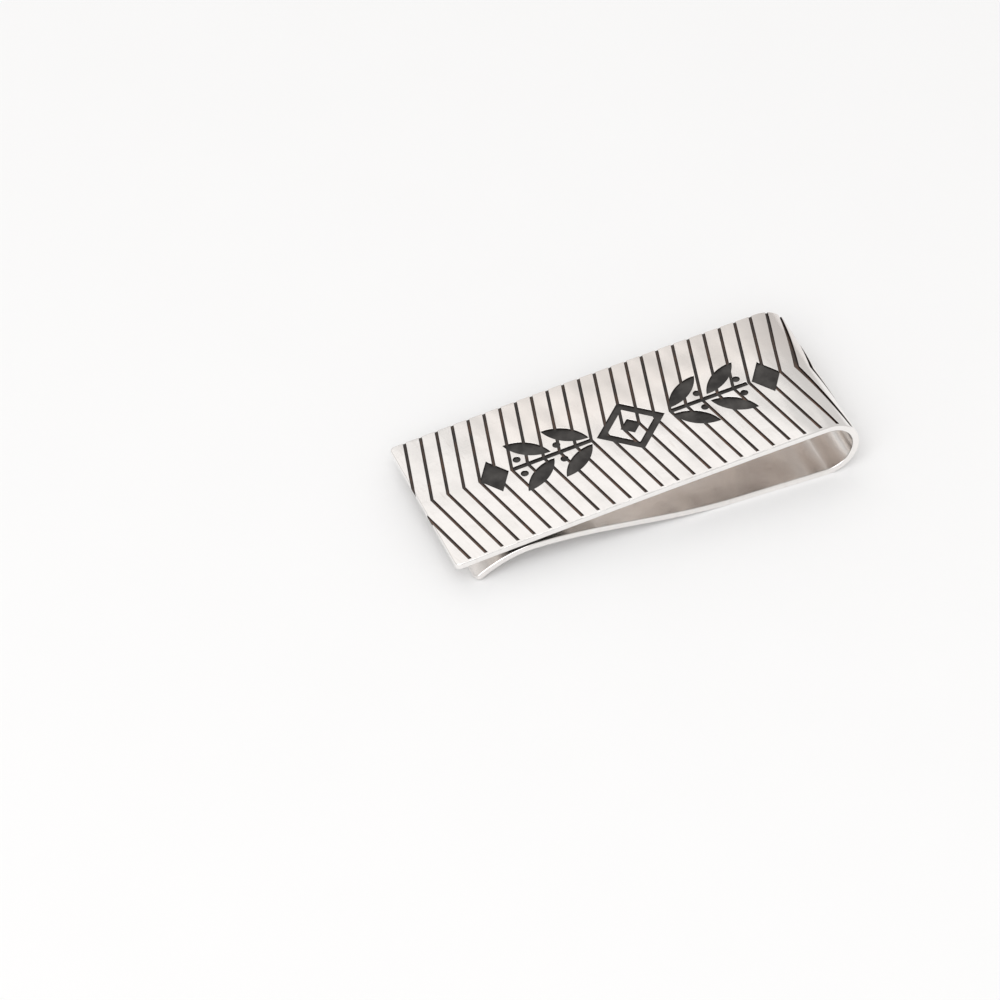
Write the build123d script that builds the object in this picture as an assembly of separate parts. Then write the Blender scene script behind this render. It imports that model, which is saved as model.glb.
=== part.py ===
"""Folded-strip money clip with chevron pinstripe inlay.

Units are millimetres, +Z up. The origin is the middle of the bounding box in plan,
at the height of the surface the clip lies on. +X runs from the free end to the bend,
+Y across the strip. Positions on the show face are given as (s, y): s is the distance
along the strip from its free end, y the distance from the centre line. The strip is
engraved flat and then folded, so round the bend s runs along the middle of the gauge,
which keeps its length.
"""
from build123d import *
import math
import os

# ---- driving dimensions ----
WIDTH = 20.4              # strip width
THICK = 0.85              # strip gauge
BEND_R = 3.95             # outer radius of the bend
LEG_LENGTH = 46.57        # show leg, free end to the bend's tangent line
SLOPE_AT_BEND = 4.2       # degrees the show leg falls away from level, at the bend
SLOPE_AT_TIP = 6.0        # and at the free end: the leg is slightly crowned
CORNER_R = 0.6            # corners of the free ends
SPLIT_ANGLE = -15.0       # bend angle where the show leg's solid meets the flexing solid

GROOVE_DEPTH = 0.4        # cut below the show face
INLAY_DROP = 0.24         # inlay surface below the show face

STRIPE_COUNT = 26
STRIPE_PITCH = 2.003
STRIPE_WIDTH = 0.38       # measured along the strip
OPENED_WIDTH = 0.58       # the same on the bend, where folding opens the grooves
STRIPE_FIRST = 1.91       # s of the first stripe at the long edges
CHEVRON_SHIFT = 2.53      # how far each apex points towards the free end
APEX_Y = 0.43             # the engraving sits a little towards the far edge
NEAR_RIM = 0.33           # plain metal left between the stripes and the near edge
FAR_OVERRUN = 1.03        # the stripes' far arms are drawn past the far edge by this factor
LEG_STRIPES = 23          # stripes wholly on the leg: the others reach the bend
BEND_STRIPES = 2          # the last stripes, which are wholly on the bend

ORNAMENT_S = 26.4         # centre of the ornament
FRAME_OUTSIDE = (4.3, 4.0)  # half length and half height of the centre frame
FRAME_OPENING = (3.0, 2.8)
CENTRE_SEED = (1.3, 1.2)
END_LOZENGE = (1.8, 2.6)
END_LOZENGE_AT = 17.2     # from the ornament's centre, as the next three are
STEM_SPAN = (5.0, 14.8)
LEAF_BASES_AT = (5.1, 9.9)
SEEDS_AT = (8.9, 13.9)
LEAF_BASE_Y = 0.55        # from the ornament's axis
LEAF_LENGTH = 5.75
LEAF_WIDTH = 1.95
LEAF_TILT = 36.0          # degrees off the long axis
STEM_WIDTH = 0.6
SEED_Y = 1.2              # from the ornament's axis
SEED_R = 0.46

REAR_FLAT_END = 10.0      # x where the rear leg leaves the ground line
REAR_CREST_X = -15.5      # x of the rear leg's inward bow
REAR_CREST_RISE = 2.6     # underside of the bow above the ground line
REAR_TIP_X = -22.6        # free end of the rear leg
REAR_STEPS = 34           # points along each of the rear leg's two curves
SLOPE_STEP = 0.01         # half the span that a slope is measured over

# ---- cutters ----
PRISM_REACH = 2.0         # reach of a straight cutter either side of the show face
PROUD = 0.2               # how far the groove band stands above the show face
TOOL_ABOVE = 0.4          # reach of a bend stripe's cutter above the show face
TOOL_BELOW = 0.7          # and below it
TOOL_STEPS = 8            # ruled steps along each arm of that cutter

# ---- derived positions ----
LEG_R = LEG_LENGTH / math.radians(SLOPE_AT_TIP - SLOPE_AT_BEND)
TANGENT = 90.0 + SLOPE_AT_BEND
TIP_ANGLE = 90.0 + SLOPE_AT_TIP


def polar(centre, radius, angle):
    """Point (x, z) at a radius and an angle in degrees from a centre."""
    turn = math.radians(angle)
    return (centre[0] + radius * math.cos(turn), centre[1] + radius * math.sin(turn))


TIP_OFFSET = polar(polar((0.0, 0.0), BEND_R - LEG_R, TANGENT), LEG_R, TIP_ANGLE)
BEND_X = -(TIP_OFFSET[0] + BEND_R) / 2
BEND_C = (BEND_X, BEND_R)
NEUTRAL_R = BEND_R - THICK / 2
LEG_C = polar(BEND_C, BEND_R - LEG_R, TANGENT)


def outer(s, depth=0.0):
    """Point (x, z) a depth below the show face, and the outward angle there."""
    if s <= LEG_LENGTH:
        angle = TIP_ANGLE - math.degrees(s / LEG_R)
        return polar(LEG_C, LEG_R - depth, angle), angle
    angle = TANGENT - math.degrees((s - LEG_LENGTH) / NEUTRAL_R)
    return polar(BEND_C, BEND_R - depth, angle), angle


def sector(centre, r_in, r_out, start, end):
    """Annular sector in the XZ plane, extruded across the strip's width."""
    middle = (start + end) / 2
    corners = [
        polar(centre, r_out, start), polar(centre, r_out, middle), polar(centre, r_out, end),
        polar(centre, r_in, end), polar(centre, r_in, middle), polar(centre, r_in, start),
    ]
    points = [Vector(x, 0, z) for x, z in corners]
    edges = [
        Edge.make_three_point_arc(points[0], points[1], points[2]),
        Edge.make_line(points[2], points[3]),
        Edge.make_three_point_arc(points[3], points[4], points[5]),
        Edge.make_line(points[5], points[0]),
    ]
    face = Face(Wire(edges))
    return extrude(face, amount=WIDTH / 2, dir=(0, 1, 0), both=True)


def shell(top, bottom, last_angle):
    """Show leg and upper bend, between two depths below the show face."""
    leg = sector(LEG_C, LEG_R - bottom, LEG_R - top, TIP_ANGLE, TANGENT)
    bend = sector(BEND_C, BEND_R - bottom, BEND_R - top, TANGENT, last_angle)
    return (leg + bend).clean()


def leg_plane():
    """Plane on the middle of the show leg, x towards the bend, z outward."""
    (x, z), angle = outer(LEG_LENGTH / 2)
    along = math.radians(angle - 90)
    return Plane(
        origin=(x, 0, z),
        x_dir=(math.cos(along), 0, math.sin(along)),
        z_dir=(-math.sin(along), 0, math.cos(along)),
    )


def prism(face):
    """Turn a face drawn in (s, y) into a cutter standing through the show leg."""
    drawn = Location((-LEG_LENGTH / 2, 0, 0)) * face
    return extrude(leg_plane() * drawn, amount=PRISM_REACH, both=True)


def stripe_apex(index):
    """The stripe's s on the apex line."""
    return STRIPE_FIRST + index * STRIPE_PITCH - CHEVRON_SHIFT


def arm_reach(side):
    """Distance in y from the apex line to a long edge, and the share the arm covers."""
    reach = WIDTH / 2 - side * APEX_Y
    share = FAR_OVERRUN if side > 0 else (reach - NEAR_RIM) / reach
    return reach, share


def stripe_face(index):
    """Chevron band of one stripe, drawn in (s, y)."""
    apex = stripe_apex(index)
    half = STRIPE_WIDTH / 2
    ends = []
    for side in (-1, 1):
        reach, share = arm_reach(side)
        ends.append((apex + CHEVRON_SHIFT * share, APEX_Y + side * reach * share))
    (near_s, near_y), (far_s, far_y) = ends
    points = [(near_s - half, near_y), (near_s + half, near_y), (apex + half, APEX_Y),
              (far_s + half, far_y), (far_s - half, far_y), (apex - half, APEX_Y)]
    return make_face(Polyline(*points, close=True))


def stripe_tool(index):
    """Cutter of a stripe that runs over the bend, built from thin ruled steps."""
    apex = stripe_apex(index)
    half = (OPENED_WIDTH if index >= STRIPE_COUNT - BEND_STRIPES else STRIPE_WIDTH) / 2
    arms = []
    for side in (-1, 1):
        reach, share = arm_reach(side)
        sections = []
        for step in range(TOOL_STEPS + 1):
            part = share * step / TOOL_STEPS
            s = apex + CHEVRON_SHIFT * part
            corners = [outer(s - half, -TOOL_ABOVE)[0], outer(s + half, -TOOL_ABOVE)[0],
                       outer(s + half, TOOL_BELOW)[0], outer(s - half, TOOL_BELOW)[0]]
            y = APEX_Y + side * reach * part
            points = [Vector(x, y, z) for x, z in corners]
            sections.append(Wire.make_polygon(points, close=True))
        arms.append(Solid.make_loft(sections, ruled=True))
    return arms[0].fuse(arms[1])


def leaf_face(s, y, tilt):
    """Pointed leaf from its base at (s, y), leaning away from the base."""
    turn = math.radians(tilt)
    tip = (s + LEAF_LENGTH * math.cos(turn), y + LEAF_LENGTH * math.sin(turn))
    mid = ((s + tip[0]) / 2, (y + tip[1]) / 2)
    side = (-math.sin(turn) * LEAF_WIDTH / 2, math.cos(turn) * LEAF_WIDTH / 2)
    left = ThreePointArc((s, y), (mid[0] + side[0], mid[1] + side[1]), tip)
    right = ThreePointArc(tip, (mid[0] - side[0], mid[1] - side[1]), (s, y))
    return make_face(left + right)


def lozenge_face(s, half_length, half_height):
    """Upright lozenge centred on the ornament's axis."""
    points = [(s - half_length, 0), (s, -half_height), (s + half_length, 0), (s, half_height)]
    return make_face(Polyline(*points, close=True))


def stem_face(start, end):
    """Straight stem along the ornament's axis."""
    return Location(((start + end) / 2, 0, 0)) * Rectangle(end - start, STEM_WIDTH)


def dot_face(s, y, radius):
    """Round seed."""
    return Location((s, y, 0)) * Circle(radius)


def ornament_faces():
    """Every piece of the ornament by name, drawn in (s, y) about the apex line."""
    centre = ORNAMENT_S
    faces = {
        "ornament_centre_frame": (lozenge_face(centre, *FRAME_OUTSIDE)
                                  - lozenge_face(centre, *FRAME_OPENING)),
        "ornament_centre_seed": lozenge_face(centre, *CENTRE_SEED),
    }
    for side, word in ((-1, "tip_side"), (1, "bend_side")):
        stem_ends = sorted(centre + side * place for place in STEM_SPAN)
        faces[f"ornament_stem_{word}"] = stem_face(*stem_ends)
        lozenge_s = centre + side * END_LOZENGE_AT
        faces[f"ornament_lozenge_{word}"] = lozenge_face(lozenge_s, *END_LOZENGE)
        for number, base in enumerate(LEAF_BASES_AT, start=1):
            s = centre + side * base
            for sign, place in ((1, "far"), (-1, "near")):
                tilt = sign * LEAF_TILT if side > 0 else 180 - sign * LEAF_TILT
                name = f"ornament_leaf_{word}_{place}_{number}"
                faces[name] = leaf_face(s, sign * LEAF_BASE_Y, tilt)
        for number, place in enumerate(SEEDS_AT, start=1):
            s = centre + side * place
            pair = dot_face(s, SEED_Y, SEED_R) + dot_face(s, -SEED_Y, SEED_R)
            faces[f"ornament_seeds_{word}_{number}"] = pair
    return {name: Location((0, APEX_Y, 0)) * face for name, face in faces.items()}


def rounded_end(solid, sign):
    """Round the two corners of a leg's free end."""
    upright = solid.edges().filter_by(lambda edge: abs(edge.tangent_at(0.5).Y) < 0.5)
    short = upright.filter_by(lambda edge: edge.length < THICK * 1.2)
    ends = short.sort_by(Axis.X)[:2] if sign < 0 else short.sort_by(Axis.X)[-2:]
    return fillet(ends, CORNER_R)


def rear_height(x):
    """Underside of the rear leg above the ground line, and its slope."""
    if x >= REAR_FLAT_END:
        return 0.0
    if x >= REAR_CREST_X:
        share = (REAR_FLAT_END - x) / (REAR_FLAT_END - REAR_CREST_X)
        return REAR_CREST_RISE * (1 - math.cos(math.pi * share)) / 2
    share = (REAR_CREST_X - x) / (REAR_CREST_X - REAR_TIP_X)
    return REAR_CREST_RISE * (1 - share * share)


def rear_leg():
    """Rear leg: flat at the bend, bowed in to grip, flared at the lip."""
    start, end = REAR_FLAT_END, REAR_TIP_X
    below, above = [], []
    for step in range(REAR_STEPS + 1):
        x = start + (end - start) * step / REAR_STEPS
        rise = rear_height(x + SLOPE_STEP) - rear_height(x - SLOPE_STEP)
        slope = rise / (2 * SLOPE_STEP)
        size = math.hypot(1, slope)
        z = rear_height(x)
        below.append(Vector(x, 0, z))
        above.append(Vector(x - slope / size * THICK, 0, z + THICK / size))
    heel = [Vector(BEND_X, 0, 0), Vector(BEND_X, 0, THICK)]
    level = Vector(-1, 0, 0)
    lip = (below[-1] - below[-2]).normalized()
    edges = [
        Edge.make_line(heel[0], below[0]),
        Edge.make_spline(below, tangents=[level, lip]),
        Edge.make_line(below[-1], above[-1]),
        Edge.make_spline(above[::-1], tangents=[-lip, -level]),
        Edge.make_line(above[0], heel[1]),
        Edge.make_line(heel[1], heel[0]),
    ]
    body = extrude(Face(Wire(edges)), amount=WIDTH / 2, dir=(0, 1, 0), both=True)
    return rounded_end(body, -1)


def spring_bend():
    """Lower half of the bend, the part that flexes when the clip opens."""
    return sector(BEND_C, BEND_R - THICK, BEND_R, SPLIT_ANGLE, -90.0)


def build():
    """All the pieces by node name."""
    strip = rounded_end(shell(0.0, THICK, SPLIT_ANGLE), -1)
    groove_band = shell(-PROUD, GROOVE_DEPTH, SPLIT_ANGLE)
    inlay_band = shell(INLAY_DROP, GROOVE_DEPTH, SPLIT_ANGLE)
    body_band = inlay_band & strip

    tools = {}
    ornament = ornament_faces()
    ornament_all = Sketch() + list(ornament.values())
    for name, face in ornament.items():
        tools[name] = prism(face)
    for index in range(LEG_STRIPES):
        tools[f"pinstripe_{index + 1:02d}"] = prism(stripe_face(index) - ornament_all)
    for index in range(LEG_STRIPES, STRIPE_COUNT):
        tools[f"pinstripe_{index + 1:02d}"] = stripe_tool(index)

    grooves = [tool & groove_band for tool in tools.values()]
    pieces = {"front_leg": strip.cut(*[solid for groove in grooves for solid in groove.solids()])}
    for name, tool in tools.items():
        pieces[name] = tool & body_band
    pieces["spring_bend"] = spring_bend()
    pieces["rear_leg"] = rear_leg()
    return pieces


def main():
    """Write one STEP file per node."""
    os.makedirs("parts", exist_ok=True)
    for name, shape in build().items():
        export_step(Compound(label=name, children=list(shape.solids())), f"parts/{name}.step")


main()
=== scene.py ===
"""Looks for the folded silver money clip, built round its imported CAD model.

The strip is drawn flat, in millimetres, as (s, y): s runs along it from the free end of the
show leg, over the bend, to the tip of the rear leg, and y runs across it. h is the height
above the outer surface. Round the bend s follows the middle of the gauge, which keeps its
length when the strip is folded. The flat drawing is cut into triangles along every
outline, given its heights, and then wrapped round the clip's side profile.
"""

import math

import bpy
import numpy as np
from mathutils import Euler, Matrix, Vector
from mathutils.geometry import delaunay_2d_cdt


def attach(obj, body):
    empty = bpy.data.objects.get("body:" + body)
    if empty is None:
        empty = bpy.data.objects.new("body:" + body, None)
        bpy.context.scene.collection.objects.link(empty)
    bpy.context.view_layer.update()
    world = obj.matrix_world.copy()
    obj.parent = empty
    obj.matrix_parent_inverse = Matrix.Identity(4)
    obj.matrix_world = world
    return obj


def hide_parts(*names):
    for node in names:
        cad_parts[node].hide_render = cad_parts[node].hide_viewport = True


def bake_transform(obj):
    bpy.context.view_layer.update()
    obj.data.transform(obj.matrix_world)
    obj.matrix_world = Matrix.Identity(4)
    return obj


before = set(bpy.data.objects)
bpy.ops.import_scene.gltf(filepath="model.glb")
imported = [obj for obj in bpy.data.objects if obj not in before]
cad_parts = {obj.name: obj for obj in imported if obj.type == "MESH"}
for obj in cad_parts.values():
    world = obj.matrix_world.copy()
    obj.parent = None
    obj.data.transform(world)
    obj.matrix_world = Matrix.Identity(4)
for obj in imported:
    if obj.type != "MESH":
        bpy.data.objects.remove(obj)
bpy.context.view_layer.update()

MM = 0.001

# ---- the strip, as in the CAD model (mm, degrees) ----
WIDTH = 20.4
THICK = 0.85
BEND_R = 3.95
LEG_LENGTH = 46.57
SLOPE_AT_BEND = 4.2
SLOPE_AT_TIP = 6.0
CORNER_R = 0.6
SPLIT_ANGLE = -15.0
REAR_FLAT_END = 10.0
REAR_CREST_X = -15.5
REAR_CREST_RISE = 2.6
REAR_TIP_X = -22.6

# ---- the engraving, as in the CAD model ----
STRIPE_COUNT = 26
STRIPE_PITCH = 2.003
STRIPE_WIDTH = 0.38
OPENED_WIDTH = 0.58
BEND_STRIPES = 2
STRIPE_FIRST = 1.91
CHEVRON_SHIFT = 2.53
APEX_Y = 0.43
NEAR_RIM = 0.33
ORNAMENT_S = 26.4
FRAME_OUTSIDE = (4.3, 4.0)
FRAME_OPENING = (3.0, 2.8)
CENTRE_SEED = (1.3, 1.2)
END_LOZENGE = (1.8, 2.6)
END_LOZENGE_AT = 17.2
STEM_SPAN = (5.0, 14.8)
LEAF_BASES_AT = (5.1, 9.9)
SEEDS_AT = (8.9, 13.9)
LEAF_BASE_Y = 0.55
LEAF_LENGTH = 5.75
LEAF_WIDTH = 1.95
LEAF_TILT = 36.0
STEM_WIDTH = 0.6
SEED_Y = 1.2
SEED_R = 0.46
INLAY_DROP = 0.24

# ---- finish of the edges ----
EDGE_R = 0.16             # rounding of the strip's long edges and ends
LIP_R = 0.035             # rounding of the metal beside each groove
WALL_RUN = 0.012          # how far a groove wall leans in
BRIGHT_RUN = 0.003        # the polish goes this far over the top of a wall
BRIGHT_DROP = 0.012       # and this far down it, and the wall is black below that
WALL_DEPTH = 0.32         # metal groove floor, out of sight under the fill
MENISCUS = 0.02           # rise of the fill where it meets the wall
MENISCUS_REACH = 0.04
FILL_INSET = 0.02         # a fill stops this far short of the strip's long edges
FILL_LEVELS = (0.006, -0.018, -0.045, -0.085, -0.13)  # outlines that its dished top follows

# ---- relief that only the silver's shading shows: heights ----
PILLOW = 0.002            # polishing leaves each band of metal crowned by this much
CROWN = 0.12              # the long edges sit this much lower than the middle of the face
LEAD_IN = (43.5, 49.0)    # the fold starts softly, over this stretch of s
LEAD_IN_DROP = 0.28
CLOUD_DEPTH = 0.16
RIPPLE_DEPTH = 0.065
LINE_DEPTH = 0.0028
HAIR_DEPTH = 0.0018

# ---- how finely the meshes are drawn ----
PATH_STEPS = 1200         # points along the show leg's side profile, and along the bend's
FAR_OVERRUN = 1.04        # the stripes' far arms are drawn past the far edge by this factor
SEED_SIDES = 32
LEAF_SIDES = 18           # on each of a leaf's two arcs
CORNER_SIDES = 9
FIRST_RULER = 1.1         # s of the first ruler line across the strip
LEG_STEP = 2.4            # between ruler lines on the show leg
BEND_LEAD = 1.2           # they are close together from this far before the bend
BEND_STEP = 0.12          # between ruler lines round the bend
REAR_LINES = 61           # ruler lines on the rear leg
LAST_RULER = 0.6          # the last one's distance from its tip

HALF = WIDTH / 2
NEUTRAL_R = BEND_R - THICK / 2
TANGENT = 90 + SLOPE_AT_BEND
TIP_ANGLE = 90 + SLOPE_AT_TIP
LEG_R = LEG_LENGTH / math.radians(SLOPE_AT_TIP - SLOPE_AT_BEND)


# ---------------------------------------------------------------- side profile
def polar(centre, radius, degrees):
    turn = np.radians(degrees)
    return centre[0] + radius * np.cos(turn), centre[1] + radius * np.sin(turn)


def rear_height(x):
    """Underside of the rear leg above the ground, as in the CAD model."""
    ramp = (REAR_FLAT_END - x) / (REAR_FLAT_END - REAR_CREST_X)
    rise = REAR_CREST_RISE * (1 - np.cos(np.pi * np.clip(ramp, 0, 1))) / 2
    fall = np.clip((REAR_CREST_X - x) / (REAR_CREST_X - REAR_TIP_X), 0, None)
    return rise - REAR_CREST_RISE * fall * fall


def profile():
    """Outer surface every few hundredths of a millimetre: s, x, z and the outward angle."""
    tip = polar(polar((0.0, 0.0), BEND_R - LEG_R, TANGENT), LEG_R, TIP_ANGLE)
    bend_c = (-(tip[0] + BEND_R) / 2, BEND_R)
    leg_c = polar(bend_c, BEND_R - LEG_R, TANGENT)
    leg_s = np.linspace(0, LEG_LENGTH, PATH_STEPS)
    leg_angle = TIP_ANGLE - np.degrees(leg_s / LEG_R)
    leg_x, leg_z = polar(leg_c, LEG_R, leg_angle)
    bend_angle = np.linspace(TANGENT, -90, PATH_STEPS)[1:]
    bend_s = LEG_LENGTH + np.radians(TANGENT - bend_angle) * NEUTRAL_R
    bend_x, bend_z = polar(bend_c, BEND_R, bend_angle)
    rear_x = np.linspace(bend_c[0], REAR_TIP_X, 2 * PATH_STEPS)
    rear_z = rear_height(rear_x)
    slope = np.gradient(rear_z, rear_x)
    rear_angle = -90 + np.degrees(np.arctan(slope))
    steps = np.hypot(np.diff(rear_x), np.diff(rear_z))
    rear_s = bend_s[-1] + np.cumsum(steps)
    return (
        np.concatenate([leg_s, bend_s, rear_s]),
        np.concatenate([leg_x, bend_x, rear_x[1:]]),
        np.concatenate([leg_z, bend_z, rear_z[1:]]),
        np.concatenate([leg_angle, bend_angle, rear_angle[1:]]),
    )


PATH_S, PATH_X, PATH_Z, PATH_ANGLE = profile()
TOTAL = PATH_S[-1]
S_SPLIT = LEG_LENGTH + math.radians(TANGENT - SPLIT_ANGLE) * NEUTRAL_R
S_REAR = LEG_LENGTH + math.radians(TANGENT + 90) * NEUTRAL_R


def wrap(s, y, h):
    """Flat (s, y, h) in millimetres to points in the row frame in metres."""
    angle = np.radians(np.interp(s, PATH_S, PATH_ANGLE))
    x = np.interp(s, PATH_S, PATH_X) + h * np.cos(angle)
    z = np.interp(s, PATH_S, PATH_Z) + h * np.sin(angle)
    return np.column_stack([x, y, z]) * MM


# ---------------------------------------------------------------- engraving
def arm_reach(side):
    """Distance in y from the apex line to a long edge."""
    return HALF - side * APEX_Y


def stripe_s(index):
    return STRIPE_FIRST + index * STRIPE_PITCH


def stripe_half(index):
    """Half a stripe's width along the strip: folding opens the grooves on the bend."""
    return (OPENED_WIDTH if index >= STRIPE_COUNT - BEND_STRIPES else STRIPE_WIDTH) / 2


def corner_distance(a, b):
    """Distance outside a corner of two half planes, negative inside both."""
    outside = np.hypot(np.maximum(a, 0), np.maximum(b, 0))
    return outside + np.minimum(np.maximum(a, b), 0)


def stripe_distance(s, y, index):
    """Signed distance to one chevron stripe."""
    reach = np.where(y > APEX_Y, arm_reach(1), arm_reach(-1))
    run = CHEVRON_SHIFT / reach
    flat = s - CHEVRON_SHIFT * (np.abs(y - APEX_Y) / reach - 1)
    across = (np.abs(flat - stripe_s(index)) - stripe_half(index)) / np.hypot(1, run)
    return corner_distance(across, (NEAR_RIM - HALF) - y)


def stripe_outline(index, out):
    """Closed outline of a stripe, grown by out."""
    ends = []
    for side in (-1, 1):
        reach = arm_reach(side)
        lean = math.hypot(1, CHEVRON_SHIFT / reach)
        share = FAR_OVERRUN if side > 0 else (reach - NEAR_RIM + out) / reach
        s = stripe_s(index) + CHEVRON_SHIFT * (share - 1)
        ends.append((s, APEX_Y + side * reach * share, stripe_half(index) + out * lean))
    (near_s, near_y, near_w), (far_s, far_y, far_w) = ends
    apex = stripe_s(index) - CHEVRON_SHIFT
    mid_w = (near_w + far_w) / 2
    return [
        (near_s - near_w, near_y), (near_s + near_w, near_y), (apex + mid_w, APEX_Y),
        (far_s + far_w, far_y), (far_s - far_w, far_y), (apex - mid_w, APEX_Y),
    ]


class Lozenge:
    def __init__(self, s, half_length, half_height, hole=False):
        self.s, self.a, self.b = s, half_length, half_height
        self.sign = -1 if hole else 1

    def distance(self, s, y):
        size = math.hypot(self.a, self.b)
        spread = np.abs(s - self.s) * self.b + np.abs(y - APEX_Y) * self.a
        return self.sign * (spread - self.a * self.b) / size

    def outline(self, out):
        grow = self.sign * out * math.hypot(self.a, self.b)
        a, b = self.a + grow / self.b, self.b + grow / self.a
        return [(self.s - a, APEX_Y), (self.s, APEX_Y - b), (self.s + a, APEX_Y),
                (self.s, APEX_Y + b)]


class Stem:
    def __init__(self, start, end):
        self.s, self.a, self.b = (start + end) / 2, abs(end - start) / 2, STEM_WIDTH / 2

    def distance(self, s, y):
        return corner_distance(np.abs(s - self.s) - self.a, np.abs(y - APEX_Y) - self.b)

    def outline(self, out):
        a, b = self.a + out, self.b + out
        return [(self.s - a, APEX_Y - b), (self.s + a, APEX_Y - b),
                (self.s + a, APEX_Y + b), (self.s - a, APEX_Y + b)]


class Seed:
    def __init__(self, s, y):
        self.s, self.y, self.r = s, APEX_Y + y, SEED_R

    def distance(self, s, y):
        return np.hypot(s - self.s, y - self.y) - self.r

    def outline(self, out):
        turns = np.linspace(0, 2 * np.pi, SEED_SIDES, endpoint=False)
        r = self.r + out
        return [(self.s + r * math.cos(t), self.y + r * math.sin(t)) for t in turns]


class Leaf:
    """Pointed leaf: what two equal circles share."""

    def __init__(self, s, y, tilt):
        turn = math.radians(tilt)
        along, across = (math.cos(turn), math.sin(turn)), (-math.sin(turn), math.cos(turn))
        self.r = (LEAF_LENGTH**2 + LEAF_WIDTH**2) / (4 * LEAF_WIDTH)
        self.off = self.r - LEAF_WIDTH / 2
        self.mid = (s + along[0] * LEAF_LENGTH / 2, APEX_Y + y + along[1] * LEAF_LENGTH / 2)
        self.along, self.across = along, across

    def distance(self, s, y):
        found = []
        for side in (-1, 1):
            cs = self.mid[0] + side * self.off * self.across[0]
            cy = self.mid[1] + side * self.off * self.across[1]
            found.append(np.hypot(s - cs, y - cy) - self.r)
        return np.maximum(*found)

    def outline(self, out):
        r = self.r + out
        half = math.asin(math.sqrt(r * r - self.off**2) / r)
        points = []
        for side in (1, -1):
            for t in np.linspace(-half, half, LEAF_SIDES, endpoint=False):
                u, v = side * r * math.sin(t), side * (r * math.cos(t) - self.off)
                points.append((self.mid[0] + u * self.along[0] + v * self.across[0],
                               self.mid[1] + u * self.along[1] + v * self.across[1]))
        return points


def ornament_shapes():
    """The shapes of each ornament node: a point is in the node if it is in the first
    shape and, for the frame, outside the second."""
    c = ORNAMENT_S
    shapes = {
        "ornament_centre_frame": [Lozenge(c, *FRAME_OUTSIDE),
                                  Lozenge(c, *FRAME_OPENING, hole=True)],
        "ornament_centre_seed": [Lozenge(c, *CENTRE_SEED)],
    }
    for side, word in ((-1, "tip_side"), (1, "bend_side")):
        shapes[f"ornament_stem_{word}"] = [Stem(*(c + side * place for place in STEM_SPAN))]
        shapes[f"ornament_lozenge_{word}"] = [Lozenge(c + side * END_LOZENGE_AT, *END_LOZENGE)]
        for number, base in enumerate(LEAF_BASES_AT, start=1):
            for sign, place in ((1, "far"), (-1, "near")):
                tilt = sign * LEAF_TILT if side > 0 else 180 - sign * LEAF_TILT
                name = f"ornament_leaf_{word}_{place}_{number}"
                shapes[name] = [Leaf(c + side * base, sign * LEAF_BASE_Y, tilt)]
        for number, place in enumerate(SEEDS_AT, start=1):
            shapes[f"ornament_seeds_{word}_{number}"] = [
                Seed(c + side * place, SEED_Y), Seed(c + side * place, -SEED_Y)]
    return shapes


ORNAMENT = ornament_shapes()


def node_distance(name, s, y):
    """Signed distance to one ornament node."""
    found = [shape.distance(s, y) for shape in ORNAMENT[name]]
    if name.startswith("ornament_seeds"):
        return np.minimum(*found)
    return found[0] if len(found) == 1 else np.maximum(*found)


def engraving_distance(s, y):
    """Signed distance to everything that is engraved."""
    d = np.full(s.shape, 1e3)
    for index in range(STRIPE_COUNT):
        d = np.minimum(d, stripe_distance(s, y, index))
    for name in ORNAMENT:
        d = np.minimum(d, node_distance(name, s, y))
    return d


def border_inset(s, y):
    """How far a point lies inside the flat strip's rounded outline."""
    a = np.abs(s - TOTAL / 2) - (TOTAL / 2 - CORNER_R)
    b = np.abs(y) - (HALF - CORNER_R)
    return CORNER_R - corner_distance(a, b)


def border_outline(inset):
    r = CORNER_R - inset
    points = []
    corners = ((TOTAL - CORNER_R, HALF - CORNER_R, 0), (CORNER_R, HALF - CORNER_R, 90),
               (CORNER_R, CORNER_R - HALF, 180), (TOTAL - CORNER_R, CORNER_R - HALF, 270))
    for cs, cy, start in corners:
        for t in np.radians(np.linspace(start, start + 90, CORNER_SIDES)):
            points.append((cs + r * math.cos(t), cy + r * math.sin(t)))
    return points


# ---------------------------------------------------------------- flat meshes
def triangulate(outlines, rulers):
    """Triangles that follow every closed outline and every ruler line across the strip."""
    points, edges = [], []
    for outline in outlines:
        first = len(points)
        points += outline
        count = len(outline)
        edges += [(first + i, first + (i + 1) % count) for i in range(count)]
    for s in rulers:
        edges.append((len(points), len(points) + 1))
        points += [(s, -HALF - 0.5), (s, HALF + 0.5)]
    found = delaunay_2d_cdt([Vector(p) for p in points], edges, [], 0, 1e-5)
    flat = np.array([tuple(v) for v in found[0]])
    faces = np.array(found[2])
    a, b, c = flat[faces[:, 0]], flat[faces[:, 1]], flat[faces[:, 2]]
    turn = (b[:, 0] - a[:, 0]) * (c[:, 1] - a[:, 1]) - (b[:, 1] - a[:, 1]) * (c[:, 0] - a[:, 0])
    faces[turn < 0] = faces[turn < 0][:, ::-1]
    return flat, faces[np.abs(turn) > 1e-9]


def ruler_lines():
    """Where the ruler lines cross the show leg and the bend, through both ends of its heel."""
    leg = np.arange(FIRST_RULER, LEG_LENGTH - BEND_LEAD, LEG_STEP)
    lead = np.arange(LEG_LENGTH - BEND_LEAD, S_SPLIT - BEND_STEP / 2, BEND_STEP)
    heel = np.linspace(S_SPLIT, S_REAR, 1 + round((S_REAR - S_SPLIT) / BEND_STEP))
    return [*leg, *lead, *heel]


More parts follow.
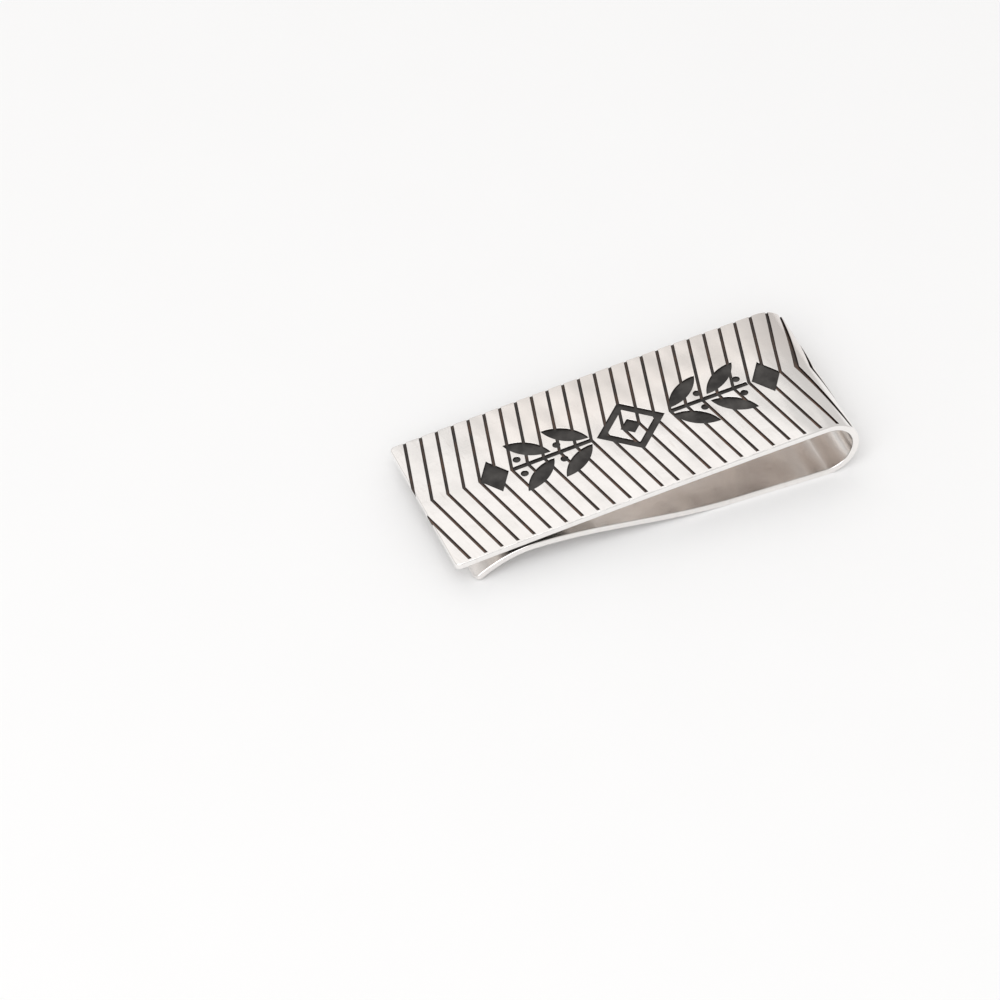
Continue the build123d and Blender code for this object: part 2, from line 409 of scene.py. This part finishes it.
def vertex_normals(points, faces):
    """Area-weighted normals, so that the flats stay flat beside their rounded lips."""
    normals = np.zeros_like(points)
    corners = [points[[f[i] for f in faces]] for i in range(3)]
    face = np.cross(corners[1] - corners[0], corners[2] - corners[0])
    for i in range(3):
        np.add.at(normals, [f[i] for f in faces], face)
    return normals / np.maximum(np.linalg.norm(normals, axis=1), 1e-20)[:, None]


def rim_of(faces):
    """Edges that only one of the faces uses, in the direction that face runs."""
    used = {}
    for a, b, c in faces:
        for edge in ((a, b), (b, c), (c, a)):
            used[edge] = True
    return [edge for edge in used if (edge[1], edge[0]) not in used]


def solid_faces(faces, count):
    """A closed skin: the faces, the same faces turned over below, and walls between."""
    below = [(c + count, b + count, a + count) for a, b, c in faces]
    walls = []
    for a, b in rim_of(faces):
        walls += [(a, a + count, b + count), (a, b + count, b)]
    return [tuple(f) for f in faces] + below + walls


def make_piece(name, points, faces, normals, flat, extras=(), attributes=None):
    """Object from some of the shared points, with their shared normals. extras are more
    faces, flat ones, that close it."""
    faces = list(faces) + list(extras)
    used = sorted({i for f in faces for i in f})
    index = {old: new for new, old in enumerate(used)}
    mesh = bpy.data.meshes.new(name)
    mesh.from_pydata([tuple(points[i]) for i in used], [],
                     [[index[i] for i in f] for f in faces])
    mesh.polygons.foreach_set("use_smooth", [True] * len(faces))
    layer = mesh.uv_layers.new(name="flat")
    corners = [i for f in faces for i in f]
    layer.data.foreach_set("uv", flat[corners].ravel())
    for key, values in (attributes or {}).items():
        held = mesh.attributes.new(key, "FLOAT", "POINT")
        held.data.foreach_set("value", values[used].astype(np.float32))
    smooth = [tuple(normals[i]) for f in faces[: len(faces) - len(extras)] for i in f]
    for f in extras:
        a, b, c = (Vector(points[f[k]]) for k in (0, len(f) // 3, 2 * len(f) // 3))
        smooth += [tuple((b - a).cross(c - a).normalized())] * len(f)
    mesh.normals_split_custom_set(smooth)
    piece = bpy.data.objects.new(name, mesh)
    bpy.context.scene.collection.objects.link(piece)
    return piece


# ---------------------------------------------------------------- the strip
def groove_height(d):
    """Metal surface beside and in a groove, from the distance to its outline."""
    lip = np.sqrt(np.maximum(LIP_R**2 - (LIP_R - np.clip(d, 0, LIP_R))**2, 0)) - LIP_R
    wall = np.interp(-d, (0, BRIGHT_RUN, WALL_RUN), (0, BRIGHT_DROP, WALL_DEPTH - LIP_R))
    return np.where(d >= 0, lip, -LIP_R - wall)


def edge_height(inset):
    return np.sqrt(np.maximum(EDGE_R**2 - (EDGE_R - np.clip(inset, 0, EDGE_R))**2, 0)) - EDGE_R


def strip_pieces():
    """The whole strip as one skin, then parted into the stretches that move differently."""
    rounds = np.radians([90, 67.5, 45, 22.5, 0])
    outlines = [border_outline(EDGE_R * (1 - math.sin(t))) for t in rounds]
    lips = [LIP_R * (1 - math.sin(math.radians(t))) for t in (0, 30, 60, 90)]
    lips += [-BRIGHT_RUN, -WALL_RUN]
    for out in lips:
        outlines += [stripe_outline(index, out) for index in range(STRIPE_COUNT)]
        outlines += [shape.outline(out) for shapes in ORNAMENT.values() for shape in shapes]
    rear_lines = np.linspace(S_REAR, TOTAL - LAST_RULER, REAR_LINES + 1)[1:]
    flat, faces = triangulate(outlines, [*ruler_lines(), *rear_lines])
    middle = flat[faces].mean(axis=1)
    faces = faces[border_inset(middle[:, 0], middle[:, 1]) > 0]
    s, y = flat[:, 0], flat[:, 1]
    inset, d = border_inset(s, y), engraving_distance(s, y)
    top = np.minimum(edge_height(inset), groove_height(d))
    points = np.vstack([wrap(s, y, top), wrap(s, y, -THICK - edge_height(inset))])
    skin = solid_faces(faces.tolist(), len(flat))
    normals = vertex_normals(points, skin)
    both = np.vstack([flat, flat])
    depth = np.concatenate([-groove_height(d), np.zeros(len(flat))])
    patina = np.clip((depth - LIP_R) / BRIGHT_DROP, 0, 1)
    made = {}
    spans = {"show_leg": (-1, S_SPLIT), "bend_heel": (S_SPLIT, S_REAR),
             "grip_leg": (S_REAR, TOTAL + 1)}
    centre = both[:, 0]
    for name, (start, end) in spans.items():
        kept = [f for f in skin if start < (centre[f[0]] + centre[f[1]] + centre[f[2]]) / 3 < end]
        caps = [cap(flat, kept, cut, cut == end) for cut in (start, end)
                if cut in (S_SPLIT, S_REAR)]
        made[name] = make_piece(name, points, kept, normals, both, caps, {"patina": patina})
    return made


def cap(flat, faces, cut, ahead):
    """Flat face that closes a stretch at one of its cuts."""
    count = len(flat)
    here = {i for f in faces for i in f if abs(flat[i % count, 0] - cut) < 1e-4}
    upper = sorted((i for i in here if i < count), key=lambda i: flat[i, 1])
    lower = sorted((i for i in here if i >= count), key=lambda i: flat[i - count, 1])
    loop = lower + upper[::-1]
    return tuple(loop) if ahead else tuple(loop[::-1])


# ---------------------------------------------------------------- the fills
def fill_height(d):
    return MENISCUS * np.exp(np.minimum(d, 0) / MENISCUS_REACH) - INLAY_DROP


def fill_pieces():
    """One closed piece per fill node, dished where it meets the groove's walls."""
    outlines = [border_outline(FILL_INSET)]
    for out in FILL_LEVELS:
        outlines += [stripe_outline(index, out) for index in range(STRIPE_COUNT)]
        outlines += [shape.outline(out) for shapes in ORNAMENT.values() for shape in shapes]
    outlines += [shape.outline(0) for shapes in ORNAMENT.values() for shape in shapes]
    grown = FILL_LEVELS[0]
    flat, faces = triangulate(outlines, ruler_lines())
    middle = flat[faces].mean(axis=1)
    ms, my = middle[:, 0], middle[:, 1]
    inside = (engraving_distance(ms, my) < grown) & (border_inset(ms, my) > FILL_INSET)
    faces, ms, my = faces[inside], ms[inside], my[inside]
    s, y = flat[:, 0], flat[:, 1]
    top = fill_height(engraving_distance(s, y))
    points = np.vstack([wrap(s, y, top), wrap(s, y, np.full(len(flat), -WALL_DEPTH - 0.05))])
    normals = np.vstack([vertex_normals(points[: len(flat)], faces.tolist())] * 2)
    both = np.vstack([flat, flat])
    owner = np.full(len(faces), -1)
    names = list(ORNAMENT)
    for number, name in enumerate(names):
        owner[(owner < 0) & (node_distance(name, ms, my) < 0)] = number
    for index in range(STRIPE_COUNT):
        names.append(f"pinstripe_{index + 1:02d}")
        mine = (owner < 0) & (stripe_distance(ms, my, index) < grown)
        owner[mine] = len(names) - 1
    for number, name in enumerate(names[: len(ORNAMENT)]):
        mine = (owner < 0) & (node_distance(name, ms, my) < grown)
        owner[mine] = number
    # painted shade mask: 1 where a fill meets its groove wall, fading to 0 deeper inside; the fill
    # materials darken with it
    wall_shade = np.clip(1 + engraving_distance(s, y) / -FILL_LEVELS[-1], 0, 1)
    made = {}
    for number, name in enumerate(names):
        kept = faces[owner == number].tolist()
        skin = solid_faces(kept, len(flat))
        made[name] = make_piece(name + "_fill", points, skin[: len(kept)], normals, both,
                                skin[len(kept):], {"wall_shade": np.tile(wall_shade, 2)})
    return made


# ---------------------------------------------------------------- materials
class Nodes:
    """Short calls for building a material's nodes."""

    def __init__(self, name):
        self.material = bpy.data.materials.new(name)
        self.material.use_nodes = True
        self.tree = self.material.node_tree
        self.shader = self.tree.nodes["Principled BSDF"]
        self.flat = self.add("ShaderNodeUVMap", uv_map="flat").outputs["UV"]
        split = self.add("ShaderNodeSeparateXYZ")
        self.set(split.inputs[0], self.flat)
        self.along, self.across = split.outputs["X"], split.outputs["Y"]

    def add(self, kind, **settings):
        node = self.tree.nodes.new(kind)
        for key, value in settings.items():
            setattr(node, key, value)
        return node

    def set(self, socket, value):
        if isinstance(value, bpy.types.NodeSocket):
            self.tree.links.new(value, socket)
        else:
            socket.default_value = value

    def scaled(self, scale, turn=0.0, shift=(0, 0, 0)):
        """The flat coordinates, in mm, turned and then multiplied."""
        turned = self.add("ShaderNodeMapping")
        turned.inputs["Rotation"].default_value = (0, 0, math.radians(turn))
        turned.inputs["Location"].default_value = shift
        self.set(turned.inputs["Vector"], self.flat)
        sized = self.add("ShaderNodeMapping")
        sized.inputs["Scale"].default_value = (*scale, 1)
        self.set(sized.inputs["Vector"], turned.outputs["Vector"])
        return sized.outputs["Vector"]

    def noise(self, vector, scale=1.0, detail=2.0, rough=0.5):
        node = self.add("ShaderNodeTexNoise")
        self.set(node.inputs["Vector"], vector)
        node.inputs["Scale"].default_value = scale
        node.inputs["Detail"].default_value = detail
        node.inputs["Roughness"].default_value = rough
        return node.outputs["Fac"]

    def ramp(self, value, low, high, out_low=0.0, out_high=1.0, kind="LINEAR"):
        node = self.add("ShaderNodeMapRange", clamp=True, interpolation_type=kind)
        self.set(node.inputs["Value"], value)
        for key, number in (("From Min", low), ("From Max", high),
                            ("To Min", out_low), ("To Max", out_high)):
            node.inputs[key].default_value = number
        return node.outputs["Result"]

    def math(self, operation, a, b=None):
        node = self.add("ShaderNodeMath", operation=operation)
        self.set(node.inputs[0], a)
        if b is not None:
            self.set(node.inputs[1], b)
        return node.outputs[0]

    def mix(self, factor, a, b):
        node = self.add("ShaderNodeMix", data_type="RGBA")
        self.set(node.inputs[0], factor)
        self.set(node.inputs[6], a)
        self.set(node.inputs[7], b)
        return node.outputs[2]

    def bump(self, height, distance, strength=1.0, below=None):
        node = self.add("ShaderNodeBump")
        node.inputs["Distance"].default_value = distance
        node.inputs["Strength"].default_value = strength
        self.set(node.inputs["Height"], height)
        if below is not None:
            self.set(node.inputs["Normal"], below)
        return node.outputs["Normal"]


def silver():
    """Polished sterling: a hand-worked surface with soft ripples, fine polishing lines and
    hairline scratches, a painted warm reflection along the far side, painted shade on the far
    side of the fold, and black on the groove walls."""
    n = Nodes("polished_silver")
    along, across = n.along, n.across
    cloud = n.noise(n.scaled((0.11, 0.16)), detail=1.0)
    smudge = n.noise(n.scaled((0.5, 0.9), turn=20, shift=(7, 3, 0)), detail=4.0, rough=0.6)
    ripple = n.noise(n.scaled((0.42, 0.07), turn=-14, shift=(5, 0, 0)), detail=0.0)
    dents = n.noise(n.scaled((0.3, 0.2), turn=30, shift=(11, 9, 0)), detail=0.0)
    lines = n.noise(n.scaled((0.22, 9.0)), detail=3.0, rough=0.7)
    cross = n.noise(n.scaled((0.9, 14.0), turn=63, shift=(31, 5, 0)), detail=2.0)
    hairs = []
    for turn, shift in ((8, 3.0), (-21, 17.0), (74, 41.0)):
        thin = n.noise(n.scaled((0.13, 5.5), turn=turn, shift=(shift, shift, 0)), detail=1.0)
        here = n.noise(n.scaled((0.35, 0.35), turn=turn, shift=(shift * 3, 9, 0)), detail=1.0)
        hair = n.ramp(n.math("ABSOLUTE", n.math("SUBTRACT", thin, 0.5)), 0.004, 0.0)
        hairs.append(n.math("MULTIPLY", hair, n.ramp(here, 0.58, 0.70)))
    hair = n.math("MAXIMUM", n.math("MAXIMUM", hairs[0], hairs[1]), hairs[2])
    patina = n.add("ShaderNodeAttribute", attribute_name="patina").outputs["Fac"]
    grain = n.noise(n.scaled((7, 7)), detail=3.0)
    streak = n.noise(n.scaled((1.7, 0.32), turn=-12, shift=(13, 2, 0)), detail=1.0)
    clean = n.ramp(cloud, 0.35, 0.68)
    bright = n.mix(clean, (0.935, 0.912, 0.892, 1), (0.965, 0.943, 0.924, 1))
    worn = n.mix(n.ramp(smudge, 0.52, 0.78, 0.0, 0.3), bright, (0.86, 0.83, 0.80, 1))
    worn = n.mix(n.ramp(streak, 0.60, 0.80, 0.0, 0.5), worn, (0.82, 0.78, 0.75, 1))
    # painted reflection: a warm tint laid over the far half of the face, from a little past the
    # free end onwards
    warm_reflection = n.math("MULTIPLY", n.ramp(across, 0.0, 5.0, 0.0, 0.8), n.ramp(along, 6.0, 16.0))
    tone_and_painted_light = n.mix(warm_reflection, worn, (0.975, 0.915, 0.870, 1))
    # painted shade: the silver is darkened where the face turns into the fold, most towards its
    # far side
    fold_shade = n.math("MULTIPLY", n.ramp(along, 44.5, 49.0), n.ramp(across, -4.0, 6.0, 0.15, 1.0))
    tone_and_painted_light = n.mix(fold_shade, tone_and_painted_light, (0.78, 0.73, 0.70, 1))
    black = n.mix(grain, (0.007, 0.005, 0.005, 1), (0.028, 0.022, 0.019, 1))
    n.set(n.shader.inputs["Base Color"], n.mix(patina, tone_and_painted_light, black))
    n.set(n.shader.inputs["Metallic"], n.ramp(patina, 0.0, 1.0, 1.0, 0.0))
    rough = n.math("ADD", n.ramp(smudge, 0.3, 0.8, 0.12, 0.22), n.ramp(lines, 0.3, 0.7, 0.0, 0.05))
    rough = n.math("ADD", rough, n.math("MULTIPLY", hair, 0.10))
    n.set(n.shader.inputs["Roughness"], n.math("ADD", rough, n.math("MULTIPLY", patina, 0.4)))
    n.shader.inputs["Specular IOR Level"].default_value = 0.0
    share = n.math("DIVIDE", across, HALF)
    crown = n.bump(n.math("MULTIPLY", n.math("MULTIPLY", share, share), -1.0), CROWN * MM)
    arm = n.math("ABSOLUTE", n.math("SUBTRACT", across, APEX_Y))
    lead = n.math("SUBTRACT", along, n.math("MULTIPLY", arm, CHEVRON_SHIFT / HALF))
    turns = n.math("MULTIPLY", n.math("SUBTRACT", lead, STRIPE_FIRST - CHEVRON_SHIFT),
                   2 * math.pi / STRIPE_PITCH)
    bands = n.math("MULTIPLY", n.math("COSINE", turns), n.ramp(along, 50.0, 52.0, -1.0, 0.0))
    pillow = n.bump(bands, PILLOW * MM, 1.0, crown)
    fold = n.ramp(along, *LEAD_IN, 0.0, -1.0, kind="SMOOTHSTEP")
    turned = n.bump(fold, LEAD_IN_DROP * MM, 1.0, pillow)
    wave = n.bump(cloud, CLOUD_DEPTH * MM, 0.5, turned)
    soft = n.bump(n.math("ADD", ripple, dents), RIPPLE_DEPTH * MM, 1.0, wave)
    brushed = n.math("ADD", lines, n.math("MULTIPLY", cross, 0.5))
    fine = n.bump(brushed, LINE_DEPTH * MM, 1.0, soft)
    cut = n.bump(n.ramp(hair, 0.0, 1.0, 1.0, 0.0), HAIR_DEPTH * MM, 1.0, fine)
    n.set(n.shader.inputs["Normal"], cut)
    return n.material


def stripe_fill():
    """Dark enamel of the pinstripes: grey-brown along the middle, with brown drifts, painted
    shade that turns it nearly black against the walls, and lighter and browner towards the near
    edge."""
    n = Nodes("pinstripe_enamel")
    # 0 on the far side, rising to 1 towards the near edge, where the enamel is lighter and browner
    towards_near_edge = n.ramp(n.across, 1.5, -3.0)
    drift = n.noise(n.scaled((0.5, 0.3)), detail=3.0)
    speck = n.noise(n.scaled((6, 6), shift=(2, 8, 0)), detail=3.0, rough=0.7)
    wall_shade = n.add("ShaderNodeAttribute", attribute_name="wall_shade").outputs["Fac"]
    dark = n.mix(towards_near_edge, (0.036, 0.031, 0.028, 1), (0.085, 0.064, 0.053, 1))
    brown = n.mix(towards_near_edge, (0.120, 0.066, 0.042, 1), (0.190, 0.105, 0.070, 1))
    core = n.mix(n.ramp(drift, 0.42, 0.72), dark, brown)
    core = n.mix(n.ramp(speck, 0.55, 0.8, 0.0, 0.5), core, (0.115, 0.10, 0.09, 1))
    # painted shade: the enamel is darkened to nearly black where it meets the groove walls
    n.set(n.shader.inputs["Base Color"], n.mix(wall_shade, core, (0.020, 0.011, 0.009, 1)))
    n.set(n.shader.inputs["Roughness"], n.ramp(speck, 0.3, 0.75, 0.3, 0.5))
    n.shader.inputs["Specular IOR Level"].default_value = 0.32
    n.set(n.shader.inputs["Normal"], n.bump(speck, 0.000012, 0.6))
    return n.material


def ornament_fill():
    """Matt dark fill of the ornament, with a fine tooled grain, and painted shade that makes it
    blackest at its walls.
    """
    n = Nodes("ornament_oxide")
    broad = n.noise(n.scaled((0.5, 0.5), shift=(4, 1, 0)), detail=3.0)
    speck = n.noise(n.scaled((11, 11), shift=(3, 5, 0)), detail=4.0, rough=0.7)
    wall_shade = n.add("ShaderNodeAttribute", attribute_name="wall_shade").outputs["Fac"]
    flat = n.mix(n.ramp(broad, 0.35, 0.7), (0.018, 0.016, 0.015, 1), (0.070, 0.065, 0.061, 1))
    flat = n.mix(n.ramp(speck, 0.5, 0.8, 0.0, 0.6), flat, (0.078, 0.072, 0.067, 1))
    # painted shade: the fill darkens to black towards the groove walls
    colour = n.mix(n.ramp(wall_shade, 0.3, 1.0), flat, (0.006, 0.005, 0.005, 1))
    n.set(n.shader.inputs["Base Color"], colour)
    n.set(n.shader.inputs["Roughness"], n.ramp(speck, 0.3, 0.7, 0.42, 0.62))
    n.shader.inputs["Specular IOR Level"].default_value = 0.32
    n.set(n.shader.inputs["Normal"], n.bump(speck, 0.000016, 0.7))
    return n.material


# ---------------------------------------------------------------- build the clip
silver_material = silver()
stretches = strip_pieces()
for piece in stretches.values():
    piece.data.materials.append(silver_material)
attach(stretches["show_leg"], "front")
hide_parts("front_leg")
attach(stretches["grip_leg"], "rear")
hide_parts("rear_leg")
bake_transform(stretches["bend_heel"])
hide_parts("spring_bend")

fill_materials = {"pinstripe": stripe_fill(), "ornament": ornament_fill()}
for node, piece in fill_pieces().items():
    kind = node.split("_")[0]
    piece.data.materials.append(fill_materials[kind])
    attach(piece, "front")
    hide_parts(node)


# ---------------------------------------------------------------- studio
def simple_material(name, colour, roughness):
    n = Nodes(name)
    position = n.add("ShaderNodeNewGeometry").outputs["Position"]
    mottle = n.noise(position, scale=60.0, detail=3.0)
    low, high = (tuple(c * k for c in colour) + (1,) for k in (0.985, 1.0))
    n.set(n.shader.inputs["Base Color"], n.mix(mottle, low, high))
    n.shader.inputs["Roughness"].default_value = roughness
    return n.material


def floor():
    """Pale floor that sweeps far out on every side."""
    half = 3.0
    mesh = bpy.data.meshes.new("floor")
    corners = [(-half, -half, 0), (half, -half, 0), (half, half, 0), (-half, half, 0)]
    mesh.from_pydata(corners, [], [(0, 1, 2, 3)])
    made = bpy.data.objects.new("floor", mesh)
    bpy.context.scene.collection.objects.link(made)
    mesh.materials.append(simple_material("pale_floor", (0.93, 0.93, 0.93), 0.9))


def area_light(name, place, size, power, roll=0.0, colour=(1, 1, 1)):
    """Square softbox that faces the clip, turned by roll degrees about its own axis."""
    data = bpy.data.lights.new(name, "AREA")
    data.size = size
    data.energy = power
    data.color = colour
    made = bpy.data.objects.new(name, data)
    turn = Euler((0, 0, math.radians(roll))).to_quaternion()
    aim = Vector(place).to_track_quat("Z", "Y") @ turn
    made.location = place
    made.rotation_euler = aim.to_euler()
    bpy.context.scene.collection.objects.link(made)


def studio():
    """Even white surroundings, brighter at the back left and above the camera."""
    world = bpy.data.worlds.new("studio")
    bpy.context.scene.world = world
    world.use_nodes = True
    background = world.node_tree.nodes["Background"]
    background.inputs["Color"].default_value = (1.0, 0.988, 0.975, 1)
    background.inputs["Strength"].default_value = 0.67
    area_light("back_softbox", (-0.152, 0.57, 1.158), size=1.05, power=1.24, roll=47,
               colour=(1, 0.965, 0.945))
    area_light("key_softbox", (-0.45, -0.55, 0.95), size=1.1, power=7.4,
               colour=(0.975, 0.985, 1))


def camera():
    """At the photograph's angle and distance, with its narrow lens."""
    tip = wrap(np.array([0.0]), np.array([0.0]), np.array([0.0]))[0]
    data = bpy.data.cameras.new("camera")
    data.sensor_width = 36
    data.lens = 216
    data.clip_start, data.clip_end = 0.01, 20
    made = bpy.data.objects.new("camera", data)
    right = Vector((0.92164, -0.38804, 0.0)).normalized()
    ahead = Vector((0.26925, 0.63927, -0.72031)).normalized()
    up = right.cross(ahead).normalized()
    turn = Matrix((right, up, -ahead)).transposed().to_4x4()
    made.matrix_world = Matrix.Translation(
        Vector(tip) + Vector((-0.177073, -0.443457, 0.496872))) @ turn
    bpy.context.scene.collection.objects.link(made)
    bpy.context.scene.camera = made


floor()
studio()
camera()
bpy.context.scene.view_settings.view_transform = "Standard"

bpy.context.view_layer.update()
